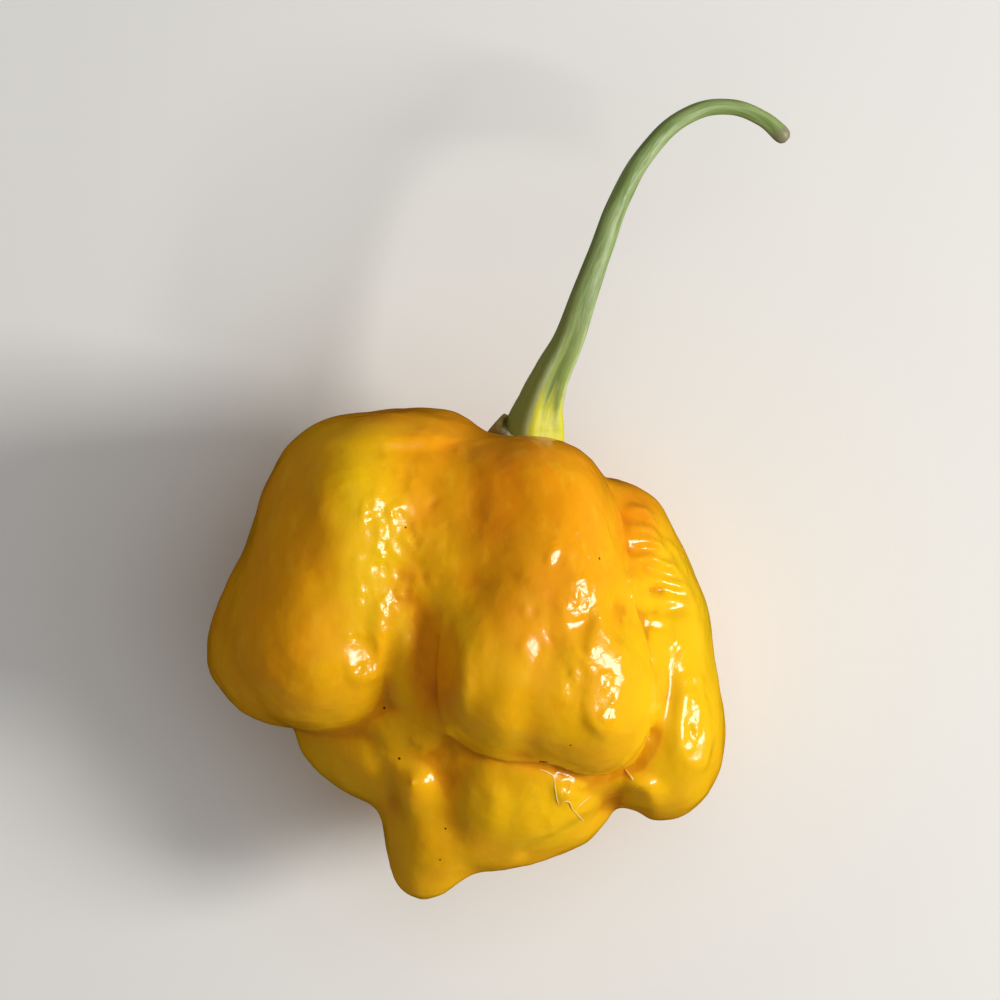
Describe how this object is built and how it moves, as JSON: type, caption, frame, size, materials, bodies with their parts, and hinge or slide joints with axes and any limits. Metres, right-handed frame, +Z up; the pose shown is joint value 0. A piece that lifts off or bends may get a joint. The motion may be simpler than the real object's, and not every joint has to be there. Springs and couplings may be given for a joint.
{
  "type": "chilli pepper",
  "caption": "Bonnet-shaped lobed chilli pepper, ripe orange-yellow, with a small tail, a five-pointed calyx and a curved green stalk, lying on its back.",
  "frame": {"origin": "on the floor, under the middle of the whole thing, pod and stalk together", "axes": "+Y from the pod's tail towards the stalk, +Z up from the floor through the pod's back lobes to its front lobe, +X to the side that the stalk bends to"},
  "size_m": [0.0528, 0.073, 0.033],
  "materials": {
    "pod_skin": "waxy, glossy pepper skin, orange by the stalk and yellow at the lobe tips",
    "calyx_skin": "dull olive brown plant skin with a cream rim",
    "stalk_skin": "satin green ribbed stalk, yellow at the foot and brown at the cut end"
  },
  "bodies": {
    "root": {"pod": "pod_skin", "calyx": "calyx_skin", "stalk": "stalk_skin"}
  },
  "joints": []
}
